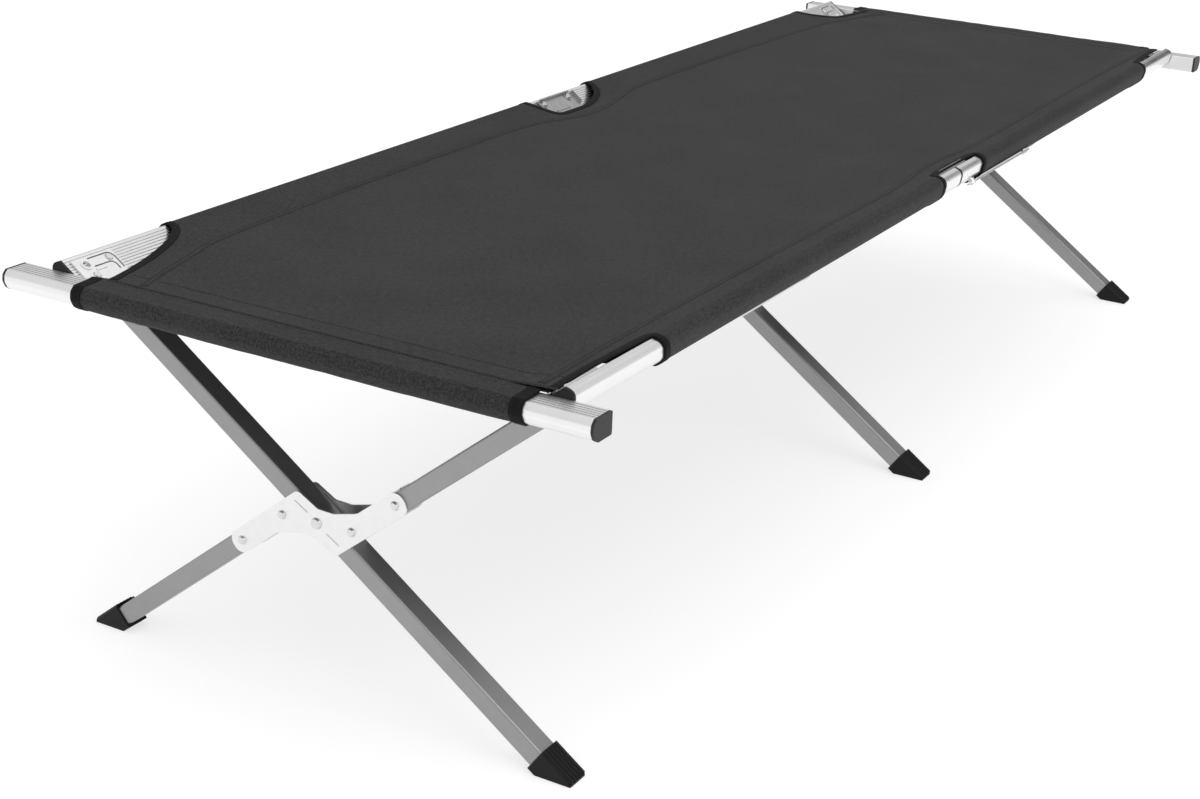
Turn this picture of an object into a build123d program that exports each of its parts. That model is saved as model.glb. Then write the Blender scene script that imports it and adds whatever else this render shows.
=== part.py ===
# Folding cot: two D-section rails, three crossed leg frames, two end bars, canvas bed.
# Millimetres. +X across the cot, +Y along it, +Z up, floor at Z = 0.
import os
from math import acos, asin, cos, hypot, radians, sin, tan

from build123d import *

os.makedirs("parts", exist_ok=True)

# ---- driving dimensions ------------------------------------------------------
HALF_LENGTH = 950.0  # middle of the cot to the top outer edge of an end bar
BAR_LENGTH = 671.0  # end bar over its caps
BAR_DEPTH = 27.0  # end bar, inner face to top outer edge
BAR_HEIGHT = 22.0
BAR_DROP = 9.8783  # top of an end bar below the left rail's top edge
BAR_WALL = 1.8
CAP_FLANGE = 3.0
RAIL_X = 290.0  # top edge of the left rail's flat face
RAIL_FACE = 37.0  # width of the ribbed flat face
RAIL_BULGE = 6.5  # the round back is this much wider than the face on each side
RAIL_DEEP = 22.0  # flat face to the deepest line of the round back
RAIL_WALL = 1.8
RAIL_GAP = 0.6  # between the two centre plugs
PLUG_FLANGE = 2.7
LEG_ANGLE = 35.0  # the long leg above the floor
LEG_T = 21.0  # leg tube, across its length in the plane of the frame
LEG_W = 25.0  # leg tube, along the cot
LEG_WALL = 1.5
PIVOT_Z = 194.0
FRAME_Y = 880.0  # outer leg frames, from the middle frame
OFFSET = 25.0  # the two halves of the broken leg stand this far off the pivot
PLATE_T = 1.8
PIVOT_R = 4.0
RUN = 0.05  # radial clearance of a turning fit
FOOT_OVER = 16.439  # outer face of a foot beyond the leg's centre line, at the floor
FOOT_W = 29.0
FOOT_HALF = 13.5
SHEET = 1.2  # canvas thickness
TAPE_T = 1.0  # binding tape thickness
TAPE = 13.0  # binding tape width
SLACK = 0.6  # canvas to metal
BED_LIFT = 2.2  # underside of the bed canvas above the end bars
SEAM_IN = 50.0  # side seam between the bed and a rail sleeve, in from the left rail's top edge
SLEEVE_OUT = 768.0  # outer end of a rail sleeve
SLEEVE_IN = 72.0  # centre opening, half length
SLEEVE_PAST = 1.442  # an end-bar sleeve's end beyond the lower edge of the nearer rail
HEM_IN = 63.0  # bed canvas's left edge at its ends, in from the left rail's top edge
FLAP = 25.0  # hem flap of an end-bar sleeve under the bed
CUT_CURVE = 27.0  # the corner cut-outs curve by distance squared over this
BRACKET_T = 2.0
PEG_R = 4.0

# ---- derived -----------------------------------------------------------------
A = radians(LEG_ANGLE)
FOOT_AXIS = PIVOT_Z / tan(A)  # where a leg's centre line meets the floor
FOOT_X = FOOT_AXIS + FOOT_OVER
REACH = hypot(FOOT_AXIS, PIVOT_Z)
B = A + asin(OFFSET / REACH)  # the broken leg stands steeper, so both feet match
U = Vector(cos(A), 0, -sin(A))  # long leg, from the pivot to the right foot
NA = Vector(sin(A), 0, cos(A))
V = Vector(cos(B), 0, sin(B))  # broken leg, from the pivot to the right rail
NB = Vector(-sin(B), 0, cos(B))
Y = Vector(0, 1, 0)
HALF_T = LEG_T / 2
RAIL_Z = PIVOT_Z + RAIL_X * tan(A) + HALF_T / cos(A)
RIGHT_X = (cos(B) * (RAIL_Z - PIVOT_Z) + OFFSET - HALF_T) / sin(B)
BAR_TOP = RAIL_Z - BAR_DROP
BED_Z = BAR_TOP + BED_LIFT
SEAM_X = RAIL_X - SEAM_IN
WIDE = RAIL_FACE + RAIL_BULGE
BAR_SLEEVE = min(RAIL_X - cos(A) * WIDE, RIGHT_X - cos(B) * WIDE) + SLEEVE_PAST
HEM_X = RAIL_X - HEM_IN
RAIL_END = HALF_LENGTH - BAR_DEPTH - 0.3
TUBE_END = RAIL_END - PLUG_FLANGE
TUBE_IN = RAIL_GAP / 2 + PLUG_FLANGE
LEG_START = RAIL_FACE + RAIL_BULGE + 3.0  # leg top, along the face from the rail's edge
PIN_S = LEG_START + 14.0
FOOT_T = REACH - 29.0  # top end of a foot, along the leg
POCKET = 7.5
FRAMES = {"near": -FRAME_Y, "mid": 0.0, "far": FRAME_Y}


# ---- shared helpers ----------------------------------------------------------
def pivot(y):
    return Vector(0, y, PIVOT_Z)


def rail_origin(side, y=0.0):
    return Vector(-RAIL_X, y, RAIL_Z) if side == "left" else Vector(RIGHT_X, y, RAIL_Z)


def down_face(side):
    """Unit vector down the flat face, from its top edge."""
    return Vector(cos(A), 0, -sin(A)) if side == "left" else Vector(-cos(B), 0, -sin(B))


def face_normal(side):
    return NA if side == "left" else NB


def cross_plane(side, y0, y1):
    """Plane across a rail, x down the face and y out of it, to extrude from y0 to y1."""
    if side == "left":
        return Plane(origin=rail_origin(side, y1), x_dir=down_face(side), z_dir=(0, -1, 0))
    return Plane(origin=rail_origin(side, y0), x_dir=down_face(side), z_dir=(0, 1, 0))


def face_plane(side, n=0.0):
    """Plane on a rail's flat face, lifted by n. Its y runs to +Y on the left and -Y on the right."""
    at = rail_origin(side) + face_normal(side) * n
    return Plane(origin=at, x_dir=down_face(side), z_dir=face_normal(side))


def fy(side, y):
    return y if side == "left" else -y


def grown(points, by):
    """A clockwise polygon with every side moved out by the distance given."""
    out = []
    count = len(points)
    for k in range(count):
        p, q, r = points[k - 1], points[k], points[(k + 1) % count]
        n1, n2 = outward(p, q), outward(q, r)
        dot = 1 + n1[0] * n2[0] + n1[1] * n2[1]
        out.append((q[0] + by * (n1[0] + n2[0]) / dot, q[1] + by * (n1[1] + n2[1]) / dot))
    return out


def outward(p, q):
    d = hypot(q[0] - p[0], q[1] - p[1])
    return (-(q[1] - p[1]) / d, (q[0] - p[0]) / d)


def rounded(points, radii):
    """Closed outline through the points, each corner rounded by its radius."""
    count = len(points)
    arcs = []
    for k in range(count):
        p, q, r = points[k - 1], points[k], points[(k + 1) % count]
        a = ((p[0] - q[0]), (p[1] - q[1]))
        b = ((r[0] - q[0]), (r[1] - q[1]))
        la, lb = hypot(*a), hypot(*b)
        a, b = (a[0] / la, a[1] / la), (b[0] / lb, b[1] / lb)
        half = acos(max(-1.0, min(1.0, a[0] * b[0] + a[1] * b[1]))) / 2
        run = radii[k] / tan(half)
        mid = hypot(a[0] + b[0], a[1] + b[1])
        m = ((a[0] + b[0]) / mid, (a[1] + b[1]) / mid)
        deep = radii[k] / sin(half) - radii[k]
        arcs.append(
            (
                (q[0] + a[0] * run, q[1] + a[1] * run),
                (q[0] + m[0] * deep, q[1] + m[1] * deep),
                (q[0] + b[0] * run, q[1] + b[1] * run),
            )
        )
    with BuildLine() as line:
        for k in range(count):
            start, mid, end = arcs[k]
            if radii[k] > 0:
                ThreePointArc(start, mid, end)
            Line(end, arcs[(k + 1) % count][0])
    return line.line


def save(part, label):
    part.label = label
    export_step(part, f"parts/{label}.step")


# rail section, clockwise, x down the face and y out of it
FACE, BULGE, DEEP = RAIL_FACE, RAIL_BULGE, RAIL_DEEP
D_POINTS = [
    (0.0, 0.0),
    (FACE, 0.0),
    (FACE + BULGE, -10.0),
    (FACE - 7.0, -DEEP),
    (7.0, -DEEP),
    (-BULGE, -10.0),
]
D_RADII = [2.0, 2.0, 8.0, 14.0, 14.0, 8.0]


def d_outline(by=0.0):
    return rounded(grown(D_POINTS, by), [max(r + by, 0.4) for r in D_RADII])


# end-bar section, clockwise, x out from the inner face and y up from the top
BAR_POINTS = [
    (0.0, 0.0),
    (BAR_DEPTH, 0.0),
    (BAR_DEPTH + 4.4, -4.5),
    (BAR_DEPTH + 5.0, -11.5),
    (BAR_DEPTH + 1.4, -18.5),
    (BAR_DEPTH - 4.0, -BAR_HEIGHT),
    (0.0, -BAR_HEIGHT),
]
BAR_RADII = [1.2, 1.5, 5.0, 6.0, 4.0, 3.0, 1.6]


def bar_outline(by=0.0):
    return rounded(grown(BAR_POINTS, by), [max(r + by, 0.3) for r in BAR_RADII])


def bar_plane(end, x0, x1):
    """Plane across an end bar, x outward along the cot and y up, to extrude from x0 to x1."""
    if end == "near":
        return Plane(
            origin=(x1, -(HALF_LENGTH - BAR_DEPTH), BAR_TOP), x_dir=(0, -1, 0), z_dir=(-1, 0, 0)
        )
    return Plane(origin=(x0, HALF_LENGTH - BAR_DEPTH, BAR_TOP), x_dir=(0, 1, 0), z_dir=(1, 0, 0))


# places on the rails: (down the face, along the cot)
END_RIVETS = [(15.0, 868.0), (30.0, 898.0)]
LINK_RIVETS = [(11.0, -30.0), (11.0, 30.0)]
PEG_S, PEG_N = 18.5, -10.0
STAY_S, STAY_Y0, STAY_Y1 = 12.0, 40.0, 250.0
STAY_RIVETS = [50.0, 240.0]
RIVET_R = 2.5


# ---- rails -------------------------------------------------------------------
def rail(side, end):
    y0, y1 = (-TUBE_END, -TUBE_IN) if end == "near" else (TUBE_IN, TUBE_END)
    sign = -1 if end == "near" else 1
    with BuildPart() as made:
        with BuildSketch(cross_plane(side, y0, y1)):
            make_face(d_outline())
            make_face(d_outline(-RAIL_WALL), mode=Mode.SUBTRACT)
            with Locations(*[(4.5 + 3.5 * k, 0.0) for k in range(9)]):
                Rectangle(1.1, 1.0, mode=Mode.SUBTRACT)
        extrude(amount=y1 - y0)
        spots = [(s, fy(side, sign * y)) for s, y in END_RIVETS]
        spots += [(s, fy(side, y)) for s, y in LINK_RIVETS if y * sign > 0]
        with BuildSketch(face_plane(side, 1.0)):
            with Locations(*spots):
                Circle(RIVET_R + 0.02)
        extrude(amount=-6.0, mode=Mode.SUBTRACT)
        if side == "right" and end == "far":
            with BuildSketch(face_plane(side, -DEEP - 1.0)):
                with Locations(*[(STAY_S, fy(side, y)) for y in STAY_RIVETS]):
                    Circle(RIVET_R + 0.02)
            extrude(amount=5.0, mode=Mode.SUBTRACT)
    return made.part


for side in ("left", "right"):
    for end in ("near", "far"):
        save(rail(side, end), f"rail_{side}_{end}")


# ---- rail plugs --------------------------------------------------------------
def plug(side, y_flange, y_in, hole):
    """A plug whose flange runs from y_flange to the tube, and whose insert ends at y_in."""
    lo, hi = sorted((y_flange[0], y_flange[1]))
    i_lo, i_hi = sorted((y_flange[1], y_in))
    with BuildPart() as made:
        with BuildSketch(cross_plane(side, lo, hi)):
            make_face(d_outline())
        extrude(amount=hi - lo)
        with BuildSketch(cross_plane(side, i_lo, i_hi)):
            make_face(d_outline(-RAIL_WALL - 0.1))
        extrude(amount=i_hi - i_lo)
        if side == "left" and hole:
            with BuildSketch(cross_plane(side, min(lo, i_lo) - 1, max(hi, i_hi) + 1)):
                with Locations((PEG_S, PEG_N)):
                    Circle(PEG_R + 0.02)
            extrude(amount=max(hi, i_hi) - min(lo, i_lo) + 2, mode=Mode.SUBTRACT)
    return made.part


for side in ("left", "right"):
    made = [
        plug(side, (-RAIL_END, -TUBE_END), -TUBE_END + 14, True),
        plug(side, (-RAIL_GAP / 2, -TUBE_IN), -TUBE_IN - 14, False),
        plug(side, (RAIL_GAP / 2, TUBE_IN), TUBE_IN + 14, False),
        plug(side, (RAIL_END, TUBE_END), TUBE_END - 14, True),
    ]
    save(Compound(children=made), f"rail_plugs_{side}")

# ---- pegs that carry the end bars ---------------------------------------------
pegs = []
PEG_OUT, PEG_IN = HALF_LENGTH - BAR_DEPTH + 12.0, TUBE_END - 13.0
for y0, y1 in ((-PEG_OUT, -PEG_IN), (PEG_IN, PEG_OUT)):
    with BuildPart() as peg:
        with BuildSketch(cross_plane("left", y0, y1)):
            with Locations((PEG_S, PEG_N)):
                Circle(PEG_R)
        extrude(amount=y1 - y0)
        chamfer(peg.faces().filter_by(Axis.Y).edges(), 0.8)
    pegs.append(peg.part)
save(Compound(children=pegs), "bar_pegs")


# ---- legs --------------------------------------------------------------------
def bore_plane(at, axis, length):
    """Plane a hole of this length starts from, so that the hole is centred on the point."""
    return Plane(origin=at - axis * (length / 2), z_dir=axis)


def leg(origin, along, length, holes):
    """A leg tube from origin, with holes listed as (point, axis, radius)."""
    with BuildPart() as made:
        with BuildSketch(Plane(origin=origin, x_dir=(0, 1, 0), z_dir=along)):
            RectangleRounded(LEG_W, LEG_T, 2.6)
            inside = (LEG_W - 2 * LEG_WALL, LEG_T - 2 * LEG_WALL)
            RectangleRounded(*inside, 1.1, mode=Mode.SUBTRACT)
        extrude(amount=length)
        for at, axis, radius in holes:
            with BuildSketch(bore_plane(at, axis, 60)):
                Circle(radius)
            extrude(amount=60, mode=Mode.SUBTRACT)
    return made.part


A_TOP = (rail_origin("left") - pivot(0)).dot(U)  # negative: the rail edge along the long leg
B_TOP = (rail_origin("right") - pivot(0)).dot(V)
RIVETS_P = (33.4, 98.0)  # fixing rivets along each half of the broken leg
FIX_R = 3.0
UPPER_START = 22.5
UPPER_END = B_TOP - LEG_START
LEG_END = FOOT_T + POCKET - 0.4

for name, y in FRAMES.items():
    start = A_TOP + LEG_START
    holes = [(pivot(y), Y, PIVOT_R + 0.02), (pivot(y) + U * (A_TOP + PIN_S), NA, PIVOT_R + 0.02)]
    save(leg(pivot(y) + U * start, U, LEG_END - start, holes), f"leg_{name}_long")

    base = pivot(y) - NB * OFFSET
    holes = [(base + V * p, Y, FIX_R + 0.02) for p in RIVETS_P]
    holes.append((base + V * (B_TOP - PIN_S), NB, PIVOT_R + 0.02))
    made = leg(base + V * UPPER_START, V, UPPER_END - UPPER_START, holes)
    save(made, f"leg_{name}_upper")

    base = pivot(y) + NB * OFFSET
    holes = [(base - V * p, Y, FIX_R + 0.02) for p in RIVETS_P]
    save(leg(base - V * UPPER_START, V * -1, LEG_END - UPPER_START, holes), f"leg_{name}_lower")

# ---- stamped cross plates ------------------------------------------------------
def plate(y, face):
    """One plate. face is -1 on the near side of the frame and +1 on the far side."""
    inner = y + face * (LEG_W / 2 + 0.1)
    outer = inner + face * PLATE_T
    top = max(inner, outer)
    side = [
        (-111.0, 37.2),
        (1.0, 37.2),
        (11.5, 11.0),
        (26.0, -1.5),
        (51.0, -12.8),
        (111.0, -12.8),
        (111.0, -37.2),
        (-1.0, -37.2),
        (-11.5, -11.0),
        (-26.0, 1.5),
        (-51.0, 12.8),
        (-111.0, 12.8),
    ]
    radii = [11.0, 7.0, 8.0, 12.0, 14.0, 11.0, 11.0, 7.0, 8.0, 12.0, 14.0, 11.0]
    with BuildPart() as made:
        with BuildSketch(Plane(origin=(0, top, PIVOT_Z), x_dir=V, z_dir=(0, -1, 0))):
            make_face(rounded(side, radii))
            Circle(PIVOT_R + RUN, mode=Mode.SUBTRACT)
            with Locations(*[(s * p, -s * OFFSET) for s in (1, -1) for p in RIVETS_P]):
                Circle(FIX_R + 0.02, mode=Mode.SUBTRACT)
        extrude(amount=PLATE_T)
        # lips folded over the edges of both leg halves
        lip_top = max(inner, inner - face * 6.0)
        with BuildSketch(Plane(origin=(0, lip_top, PIVOT_Z), x_dir=V, z_dir=(0, -1, 0))):
            for s in (1, -1):
                with Locations((s * 84.0, -s * 36.4), (s * 55.0, -s * 36.4), (s * 84.0, -s * 13.6)):
                    Rectangle(24.0, 1.6)
        extrude(amount=6.0)
        # raised rim beside the pivot
        rim_top = max(outer, outer + face * 0.8)
        with BuildSketch(Plane(origin=(0, rim_top, PIVOT_Z), x_dir=V, z_dir=(0, -1, 0))):
            with Locations((-6.5, 22.0), (6.5, -22.0)):
                SlotOverall(18.0, 1.8, rotation=110)
        extrude(amount=0.8)
    return made.part


def riveted(y, p, q, shank, head, half):
    """A round-headed rivet along Y at (p, q) in the plane of the broken leg."""
    at = Vector(0, y, PIVOT_Z) + V * p + NB * q
    with BuildPart() as made:
        with BuildSketch(Plane(origin=at + Y * half, x_dir=(1, 0, 0), z_dir=(0, -1, 0))):
            Circle(shank)
        extrude(amount=2 * half)
        for s in (-1, 1):
            with BuildSketch(Plane(origin=at + Y * (s * half), z_dir=(0, s, 0))):
                Circle(head)
            extrude(amount=2.2, taper=28)
    return made.part


STACK = LEG_W / 2 + 0.1 + PLATE_T + 0.1
for name, y in FRAMES.items():
    save(plate(y, -1), f"cross_plate_{name}_front")
    save(plate(y, 1), f"cross_plate_{name}_back")
    made = [
        riveted(y, s * p, -s * OFFSET, FIX_R, 4.8, STACK) for s in (1, -1) for p in RIVETS_P
    ]
    save(Compound(children=made), f"cross_rivets_{name}")
    save(riveted(y, 0, 0, PIVOT_R, 6.2, STACK), f"cross_pivot_{name}")


# ---- feet ----------------------------------------------------------------------
def foot(side, y):
    if side == "right":
        base, along, up, sign = pivot(y), U, NA, 1
    else:
        base, along, up, sign = pivot(y) + NB * OFFSET, V * -1, NB, -1
    high = base + along * FOOT_T + up * FOOT_HALF
    low = base + along * FOOT_T - up * FOOT_HALF
    run = (sign * FOOT_X - high.X) / along.X
    out = high + along * run
    sole = low + along * (-low.Z / along.Z)
    points = [(p.X, p.Z) for p in (high, out)]
    points += [(sign * FOOT_X, 0.0), (sole.X, 0.0), (low.X, low.Z)]
    with BuildPart() as made:
        with BuildSketch(Plane(origin=(0, y + FOOT_W / 2, 0), x_dir=(1, 0, 0), z_dir=(0, -1, 0))):
            with BuildLine():
                Polyline(*points, close=True)
            make_face()
        extrude(amount=FOOT_W)
        ends = made.faces().filter_by(Axis.Y).edges()
        chamfer(ends, 1.2)
        # pocket for the leg tube
        with BuildSketch(Plane(origin=base + along * (FOOT_T - 1), x_dir=(0, 1, 0), z_dir=along)):
            RectangleRounded(LEG_W + 0.2, LEG_T + 0.2, 2.6)
        extrude(amount=POCKET + 1, mode=Mode.SUBTRACT)
        # three grooves across the outer face
        for z in (3.6, 7.0, 10.4):
            with BuildSketch(Plane.XZ.offset(-y - FOOT_W)):
                with Locations((sign * (FOOT_X - 0.2), z)):
                    Rectangle(2.2, 1.5)
            extrude(amount=2 * FOOT_W, mode=Mode.SUBTRACT)
    return made.part


for name, y in FRAMES.items():
    for side in ("right", "left"):
        save(foot(side, y), f"foot_{name}_{side}")

# ---- stamped brackets on the rails ----------------------------------------------
ON_FACE = 0.05
PAD = ON_FACE + BRACKET_T


def end_bracket(side, sign):
    mid = fy(side, sign * FRAME_Y)
    end = fy(side, sign * 1.0)  # +1 where the rail end lies at larger local y
    with BuildPart() as made:
        with BuildSketch(face_plane(side, ON_FACE)):
            points = [
                (6.0, mid - end * 22.0),
                (6.0, mid + end * 34.0),
                (33.0, mid + end * 34.0),
                (40.0, mid + end * 17.0),
                (PIN_S + 14.0, mid + end * 15.0),
                (PIN_S + 14.0, mid - end * 15.0),
                (40.0, mid - end * 17.0),
                (33.0, mid - end * 22.0),
            ]
            with BuildLine():
                Polyline(*points, close=True)
            make_face()
            with Locations((15.5, mid + end * 20.0)):
                Circle(4.2, mode=Mode.SUBTRACT)
            with Locations((PIN_S, mid)):
                Circle(PIVOT_R + 0.02, mode=Mode.SUBTRACT)
            with Locations(*[(s, fy(side, sign * y)) for s, y in END_RIVETS]):
                Circle(RIVET_R + 0.02, mode=Mode.SUBTRACT)
        extrude(amount=BRACKET_T)
        with BuildSketch(face_plane(side, PAD)):
            with Locations((15.5, mid + end * 20.0)):
                Circle(6.4)
                Circle(4.2, mode=Mode.SUBTRACT)
            with Locations((24.0, mid + end * 6.0)):
                SlotOverall(16.0, 2.6, rotation=90)
            with Locations((37.0, mid)):
                SlotOverall(24.0, 2.6, rotation=90)
        extrude(amount=0.8)
        # rims turned up beside the leg
        with BuildSketch(face_plane(side, PAD)):
            with Locations(((40 + PIN_S + 13) / 2, mid + 14.2), ((40 + PIN_S + 13) / 2, mid - 14.2)):
                Rectangle(PIN_S + 13 - 40, 1.6)
        extrude(amount=2.0)
    return made.part


def centre_link(side):
    with BuildPart() as made:
        with BuildSketch(face_plane(side, ON_FACE)):
            with BuildLine():
                Polyline(
                    (4.0, -46.0),
                    (4.0, 46.0),
                    (28.0, 46.0),
                    (40.0, 24.0),
                    (PIN_S + 14.0, 15.0),
                    (PIN_S + 14.0, -15.0),
                    (40.0, -24.0),
                    (28.0, -46.0),
                    close=True,
                )
            make_face()
            with Locations((PIN_S, 0)):
                Circle(PIVOT_R + 0.02, mode=Mode.SUBTRACT)
            with Locations(*LINK_RIVETS):
                Circle(RIVET_R + 0.02, mode=Mode.SUBTRACT)
        extrude(amount=BRACKET_T)
        # walls turned up round the tray
        with BuildSketch(face_plane(side, PAD)):
            with Locations((4.8, 0.0)):
                Rectangle(1.6, 72.0)
            with Locations((16.0, 45.2), (16.0, -45.2)):
                Rectangle(20.0, 1.6)
        extrude(amount=4.0)
        with BuildSketch(face_plane(side, PAD)):
            with Locations((27.0, 0.0)):
                SlotOverall(34.0, 2.6, rotation=90)
            with Locations((11.0, 30.0), (11.0, -30.0)):
                Circle(7.0)
                Circle(5.6, mode=Mode.SUBTRACT)
        extrude(amount=0.8)
    return made.part


def leg_pin(side, y):
    low = -LEG_T - 0.05
    at = rail_origin(side, y) + down_face(side) * PIN_S
    n = face_normal(side)
    with BuildPart() as made:
        with BuildSketch(Plane(origin=at + n * (low - 2.0), z_dir=n)):
            Circle(6.0)
        extrude(amount=2.0)
        with BuildSketch(Plane(origin=at + n * low, z_dir=n)):
            Circle(PIVOT_R)
        extrude(amount=PAD + 0.05 - low)
        with BuildSketch(Plane(origin=at + n * (PAD + 0.05), z_dir=n)):
            Circle(6.5)
        extrude(amount=2.0, taper=28)
    return made.part


def face_rivet(side, s, y):
    at = rail_origin(side, y) + down_face(side) * s
    n = face_normal(side)
    with BuildPart() as made:
        with BuildSketch(Plane(origin=at + n * -4.5, z_dir=n)):
            Circle(RIVET_R)
        extrude(amount=4.5 + PAD + 0.05)
        with BuildSketch(Plane(origin=at + n * (PAD + 0.05), z_dir=n)):
            Circle(4.4)
        extrude(amount=1.8, taper=28)
    return made.part


for side in ("left", "right"):
    save(end_bracket(side, -1), f"leg_bracket_{side}_near")
    save(end_bracket(side, 1), f"leg_bracket_{side}_far")
    save(centre_link(side), f"centre_link_{side}")
    save(Compound(children=[leg_pin(side, y) for y in FRAMES.values()]), f"leg_pins_{side}")
    made = [face_rivet(side, s, sign * y) for sign in (-1, 1) for s, y in END_RIVETS]
    made += [face_rivet(side, s, y) for s, y in LINK_RIVETS]
    save(Compound(children=made), f"bracket_rivets_{side}")

# ---- stay strap under the right rail --------------------------------------------
UNDER = -DEEP - SLACK - SHEET - TAPE_T - 0.4
with BuildPart() as stay:
    with BuildSketch(face_plane("right", UNDER)):
        with Locations((STAY_S, fy("right", (STAY_Y0 + STAY_Y1) / 2))):
            SlotOverall(STAY_Y1 - STAY_Y0, 13.0, rotation=90)
        with Locations(*[(STAY_S, fy("right", y)) for y in STAY_RIVETS]):
            Circle(RIVET_R + 0.02, mode=Mode.SUBTRACT)
    extrude(amount=-2.5)
save(stay.part, "rail_stay")

made = []
for y in STAY_RIVETS:
    at = rail_origin("right", y) + down_face("right") * STAY_S
    with BuildPart() as stay_rivet:
        with BuildSketch(Plane(origin=at + NB * (UNDER - 2.55), z_dir=NB)):
            Circle(RIVET_R)
        extrude(amount=2.55 - UNDER - DEEP + 5.0)
        with BuildSketch(Plane(origin=at + NB * (UNDER - 2.55), z_dir=NB * -1)):
            Circle(4.4)
        extrude(amount=1.8, taper=28)
        with BuildSketch(Plane(origin=at + NB * (UNDER + 0.05), z_dir=NB)):
            Circle(4.0)
        extrude(amount=-DEEP - 0.05 - UNDER - 0.05)
    made.append(stay_rivet.part)
save(Compound(children=made), "stay_rivets")

# ---- end bars --------------------------------------------------------------------
HALF_BAR = BAR_LENGTH / 2
peg_at = rail_origin("left") + down_face("left") * PEG_S + NA * PEG_N
for end in ("near", "far"):
    sign = -1 if end == "near" else 1
    tube_half = HALF_BAR - CAP_FLANGE
    with BuildPart() as bar:
        with BuildSketch(bar_plane(end, -tube_half, tube_half)):
            make_face(bar_outline())
            make_face(bar_outline(-BAR_WALL), mode=Mode.SUBTRACT)
            with Locations(*[(4.5 + 4.5 * k, 0.0) for k in range(5)]):
                Rectangle(1.0, 0.8, mode=Mode.SUBTRACT)
        extrude(amount=2 * tube_half)
        hole_at = Vector(peg_at.X, sign * (HALF_LENGTH - BAR_DEPTH), peg_at.Z)
        with BuildSketch(bore_plane(hole_at, Y, 8)):
            Circle(PEG_R + RUN)
        extrude(amount=8, mode=Mode.SUBTRACT)
    save(bar.part, f"end_bar_{end}")
    made = []
    for x_side in (-1, 1):
        a, b = sorted((x_side * tube_half, x_side * HALF_BAR))
        c, d = sorted((x_side * tube_half, x_side * (tube_half - 12)))
        with BuildPart() as cap:
            with BuildSketch(bar_plane(end, a, b)):
                make_face(bar_outline())
            extrude(amount=b - a)
            with BuildSketch(bar_plane(end, c, d)):
                make_face(bar_outline(-BAR_WALL - 0.1))
            extrude(amount=d - c)
        made.append(cap.part)
    save(Compound(children=made), f"bar_caps_{end}")

# ---- canvas ------------------------------------------------------------------------
# rail sleeve section, clockwise: the seam stands above the face, level with the bed


def to_face(side, x, z):
    d = Vector(x, 0, z) - rail_origin(side)
    return (d.dot(down_face(side)), d.dot(face_normal(side)))


def sleeve_points(side):
    sx = -SEAM_X - 5.0 if side == "left" else SEAM_X + 5.0
    seam = to_face(side, sx, BED_Z + SHEET / 2)
    return [
        (0.0, 0.0),
        seam,
        (FACE + BULGE, -10.0),
        (FACE - 7.0, -DEEP),
        (7.0, -DEEP),
        (-BULGE, -10.0),
    ]


def sleeve_outline(side, by):
    radii = [2.0 + by, 0.3, 8.0 + by, 14.0 + by, 14.0 + by, 8.0 + by]
    return rounded(grown(sleeve_points(side), by), radii)


def rail_sleeve(side, y0, y1):
    with BuildPart() as made:
        with BuildSketch(cross_plane(side, y0, y1)):
            make_face(sleeve_outline(side, SLACK + SHEET))
            make_face(sleeve_outline(side, SLACK), mode=Mode.SUBTRACT)
        extrude(amount=y1 - y0)
        if side == "right" and y1 > 0:
            with BuildSketch(face_plane(side, -DEEP + 2.0)):
                with Locations((STAY_S, fy(side, STAY_RIVETS[1]))):
                    Circle(5.0)
            extrude(amount=-8.0, mode=Mode.SUBTRACT)
    return made.part


def tape_ring(side, y0, y1):
    with BuildPart() as made:
        with BuildSketch(cross_plane(side, y0, y1)):
            make_face(sleeve_outline(side, SLACK + SHEET + TAPE_T))
            make_face(sleeve_outline(side, SLACK + SHEET + 0.1), mode=Mode.SUBTRACT)
            with Locations(sleeve_points(side)[1]):
                Circle(9.0, mode=Mode.SUBTRACT)
        extrude(amount=y1 - y0)
    return made.part


for side in ("left", "right"):
    spans = [(-SLEEVE_OUT, -SLEEVE_IN), (SLEEVE_IN, SLEEVE_OUT)]
    save(Compound(children=[rail_sleeve(side, a, b) for a, b in spans]), f"canvas_sleeves_{side}")
    made = []
    for a, b in spans:
        made += [tape_ring(side, a, a + TAPE), tape_ring(side, b - TAPE, b)]
    save(Compound(children=made), f"sleeve_tapes_{side}")

with BuildPart() as bed:
    with BuildSketch(Plane.XY.offset(BED_Z)):
        end_y = HALF_LENGTH - BAR_DEPTH + 1.0
        left = [(-SEAM_X - 1.2, SLEEVE_OUT + 8.0)]
        left += [(d - RAIL_X, SLEEVE_OUT + d * d / CUT_CURVE) for d in (27.0, 36.0, 45.0, 54.0)]
        left.append((-HEM_X, end_y))
        right = [(SEAM_X + 3.0, end_y), (SEAM_X + 1.2, SLEEVE_OUT + 8.0)]
        around = left + right + [(x, -y) for x, y in reversed(right)] + [(x, -y) for x, y in reversed(left)]
        with BuildLine():
            Polyline(*around, close=True)
        make_face()
    extrude(amount=SHEET)
save(bed.part, "canvas_bed")

for end in ("near", "far"):
    sign = -1 if end == "near" else 1
    with BuildPart() as bar_sleeve:
        with BuildSketch(bar_plane(end, -BAR_SLEEVE, BAR_SLEEVE)):
            make_face(bar_outline(SLACK / 2 + SHEET))
            make_face(bar_outline(SLACK / 2), mode=Mode.SUBTRACT)
        extrude(amount=2 * BAR_SLEEVE)
        # hem flap that lies under the bed canvas
        flap = HALF_LENGTH - BAR_DEPTH + 1.0 - FLAP / 2
        with Locations((0, sign * flap, BED_Z - 0.3 - SHEET / 2)):
            Box(2 * (HEM_X - 37.0), FLAP, SHEET)
    save(bar_sleeve.part, f"canvas_sleeve_{end}")
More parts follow.
